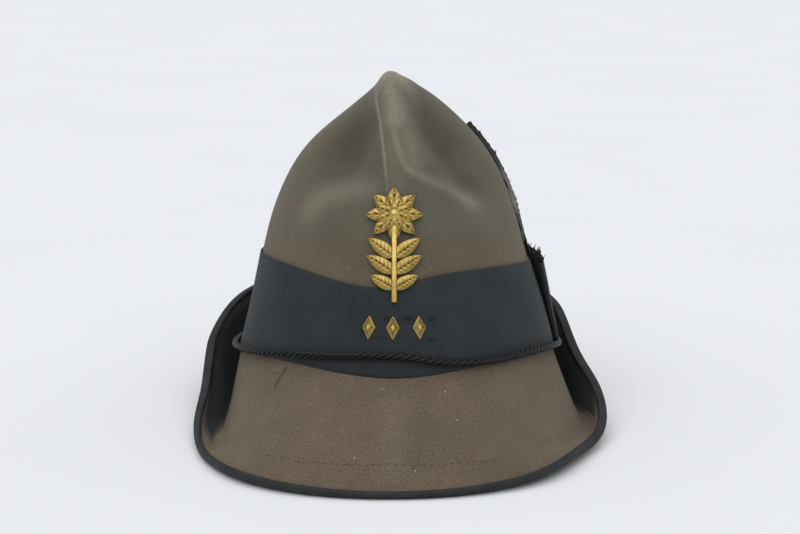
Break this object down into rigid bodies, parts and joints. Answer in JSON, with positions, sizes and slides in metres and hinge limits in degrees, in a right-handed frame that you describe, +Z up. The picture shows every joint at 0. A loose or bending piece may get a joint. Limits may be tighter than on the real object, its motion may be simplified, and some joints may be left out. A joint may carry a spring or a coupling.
{
  "type": "alpine cap",
  "caption": "Tall felt cap with a pinched crown, brim turned down in front and up behind, dark cloth band, twisted cord, side feather and brass badge.",
  "frame": {"origin": "middle of the bottom of the box round the whole cap, on the surface it rests on", "axes": "+Z up, -Y towards the front of the cap, +X towards the wearer's left, where the feather is"},
  "size_m": [0.21, 0.281, 0.1799],
  "materials": {
    "felt": "napped wool felt, grey-brown",
    "band_cloth": "matt black ribbed cloth",
    "cord_yarn": "black twisted yarn",
    "binding_ribbon": "black ribbon",
    "facing_cloth": "matt black cloth",
    "feather_vane": "dark barbs",
    "brass": "pressed brass, slightly tarnished"
  },
  "bodies": {
    "root": {"felt_body": "felt", "hat_band": "band_cloth", "twisted_cord": "cord_yarn", "brim_binding": "binding_ribbon", "brim_facing": "facing_cloth", "band_loop": "band_cloth", "feather": "feather_vane", "badge": "brass", "stud_left": "brass", "stud_middle": "brass", "stud_right": "brass"}
  },
  "joints": []
}
